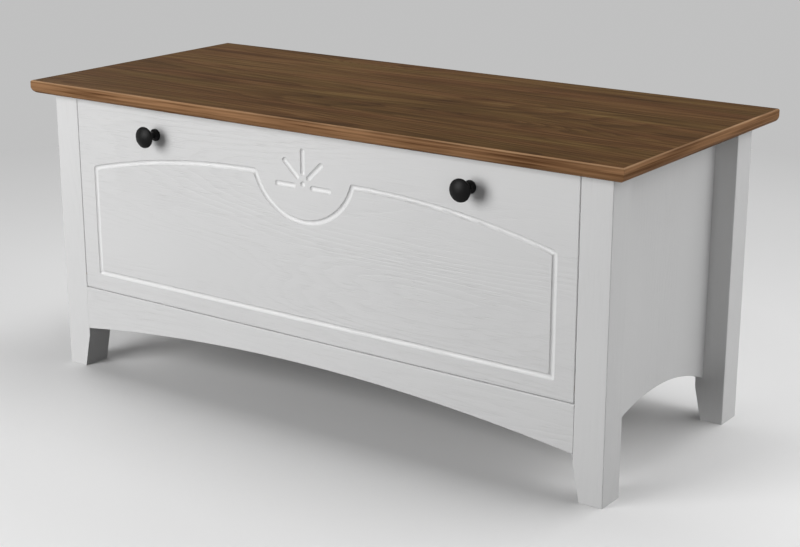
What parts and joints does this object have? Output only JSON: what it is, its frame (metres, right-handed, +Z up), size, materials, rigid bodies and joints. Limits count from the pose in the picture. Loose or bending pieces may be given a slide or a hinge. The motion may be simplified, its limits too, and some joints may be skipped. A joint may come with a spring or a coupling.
{
  "type": "storage chest",
  "caption": "Low wooden storage chest with a lift-up stained lid, a drop-front routed flap with round knobs, arched rails and square tapered feet.",
  "frame": {"origin": "on the floor, under the middle of the chest's outline seen from above", "axes": "+Z up, +X to the right of someone who faces the front, the front with its knobs faces -Y"},
  "size_m": [1.01, 0.455, 0.452],
  "materials": {
    "white_wood": "satin white paint on pine boards",
    "lid_wood": "walnut stain under satin varnish",
    "plain_pine": "planed, unfinished",
    "black_iron": "matt black",
    "zinc_steel": "zinc plated",
    "bush_brass": "turned",
    "catch_plastic": "moulded"
  },
  "bodies": {
    "carcass": {"post_front_left": "white_wood", "post_front_right": "white_wood", "post_back_left": "white_wood", "post_back_right": "white_wood", "side_panel_left": "white_wood", "side_panel_right": "white_wood", "back_panel": "white_wood", "front_apron": "white_wood", "front_top_rail": "white_wood", "bottom_board": "white_wood", "bottom_cleat_front": "plain_pine", "bottom_cleat_back": "plain_pine", "bottom_cleat_left": "plain_pine", "bottom_cleat_right": "plain_pine", "frame_dowels": "plain_pine", "cleat_screws": "zinc_steel", "pivot_bush_left": "bush_brass", "pivot_bush_right": "bush_brass", "catch_left": "catch_plastic", "catch_right": "catch_plastic", "catch_screws": "zinc_steel", "flap_stay_anchor_left": "zinc_steel", "flap_stay_anchor_right": "zinc_steel", "lid_stay_anchor_left": "zinc_steel", "lid_stay_anchor_right": "zinc_steel", "anchor_screws": "zinc_steel", "hinge_left_body_leaf": "zinc_steel", "hinge_middle_body_leaf": "zinc_steel", "hinge_right_body_leaf": "zinc_steel", "hinge_pins": "zinc_steel", "hinge_body_screws": "zinc_steel"},
    "lid": {"lid_board": "lid_wood", "lid_batten_left": "lid_wood", "lid_batten_right": "lid_wood", "lid_batten_screws": "zinc_steel", "hinge_left_lid_leaf": "zinc_steel", "hinge_middle_lid_leaf": "zinc_steel", "hinge_right_lid_leaf": "zinc_steel", "hinge_lid_screws": "zinc_steel", "lid_stay_bracket_left": "zinc_steel", "lid_stay_bracket_right": "zinc_steel", "lid_bracket_screws": "zinc_steel", "lid_stay_rivets": "zinc_steel"},
    "flap": {"flap_panel": "white_wood", "knob_left": "black_iron", "knob_right": "black_iron", "knob_screws": "zinc_steel", "flap_pivot_pin_left": "zinc_steel", "flap_pivot_pin_right": "zinc_steel", "strike_plates": "zinc_steel", "strike_screws": "zinc_steel", "flap_stay_bracket_left": "zinc_steel", "flap_stay_bracket_right": "zinc_steel", "flap_bracket_screws": "zinc_steel", "flap_stay_rivets": "zinc_steel"},
    "lid_stay_left": {"lid_stay_arm_left": "zinc_steel"},
    "lid_stay_right": {"lid_stay_arm_right": "zinc_steel"},
    "flap_stay_left": {"flap_stay_arm_left": "zinc_steel"},
    "flap_stay_right": {"flap_stay_arm_right": "zinc_steel"}
  },
  "joints": [
    {"name": "lid_hinge", "type": "hinge", "parent": "carcass", "child": "lid", "pos_m": [0, 0.2025, 0.429], "axis": [-1, 0, 0], "range_deg": [0, 85]},
    {"name": "flap_hinge", "type": "hinge", "parent": "carcass", "child": "flap", "pos_m": [0, -0.1915, 0.1532], "axis": [1, 0, 0], "range_deg": [0, 90]},
    {"name": "lid_stay_left_pivot", "type": "hinge", "parent": "lid", "child": "lid_stay_left", "pos_m": [-0.42495, 0.05277, 0.42], "axis": [1, 0, 0], "range_deg": [0, 42.5]},
    {"name": "lid_stay_right_pivot", "type": "hinge", "parent": "lid", "child": "lid_stay_right", "pos_m": [0.42495, 0.05277, 0.42], "axis": [1, 0, 0], "range_deg": [0, 42.5]},
    {"name": "flap_stay_left_pivot", "type": "hinge", "parent": "flap", "child": "flap_stay_left", "pos_m": [-0.42495, -0.1675, 0.28097], "axis": [-1, 0, 0], "range_deg": [0, 45]},
    {"name": "flap_stay_right_pivot", "type": "hinge", "parent": "flap", "child": "flap_stay_right", "pos_m": [0.42495, -0.1675, 0.28097], "axis": [-1, 0, 0], "range_deg": [0, 45]}
  ],
  "couplings": [
    {"joint": "lid_stay_left_pivot", "follows": "lid_hinge", "ratio": 0.5},
    {"joint": "lid_stay_right_pivot", "follows": "lid_hinge", "ratio": 0.5},
    {"joint": "flap_stay_left_pivot", "follows": "flap_hinge", "ratio": 0.5},
    {"joint": "flap_stay_right_pivot", "follows": "flap_hinge", "ratio": 0.5}
  ]
}
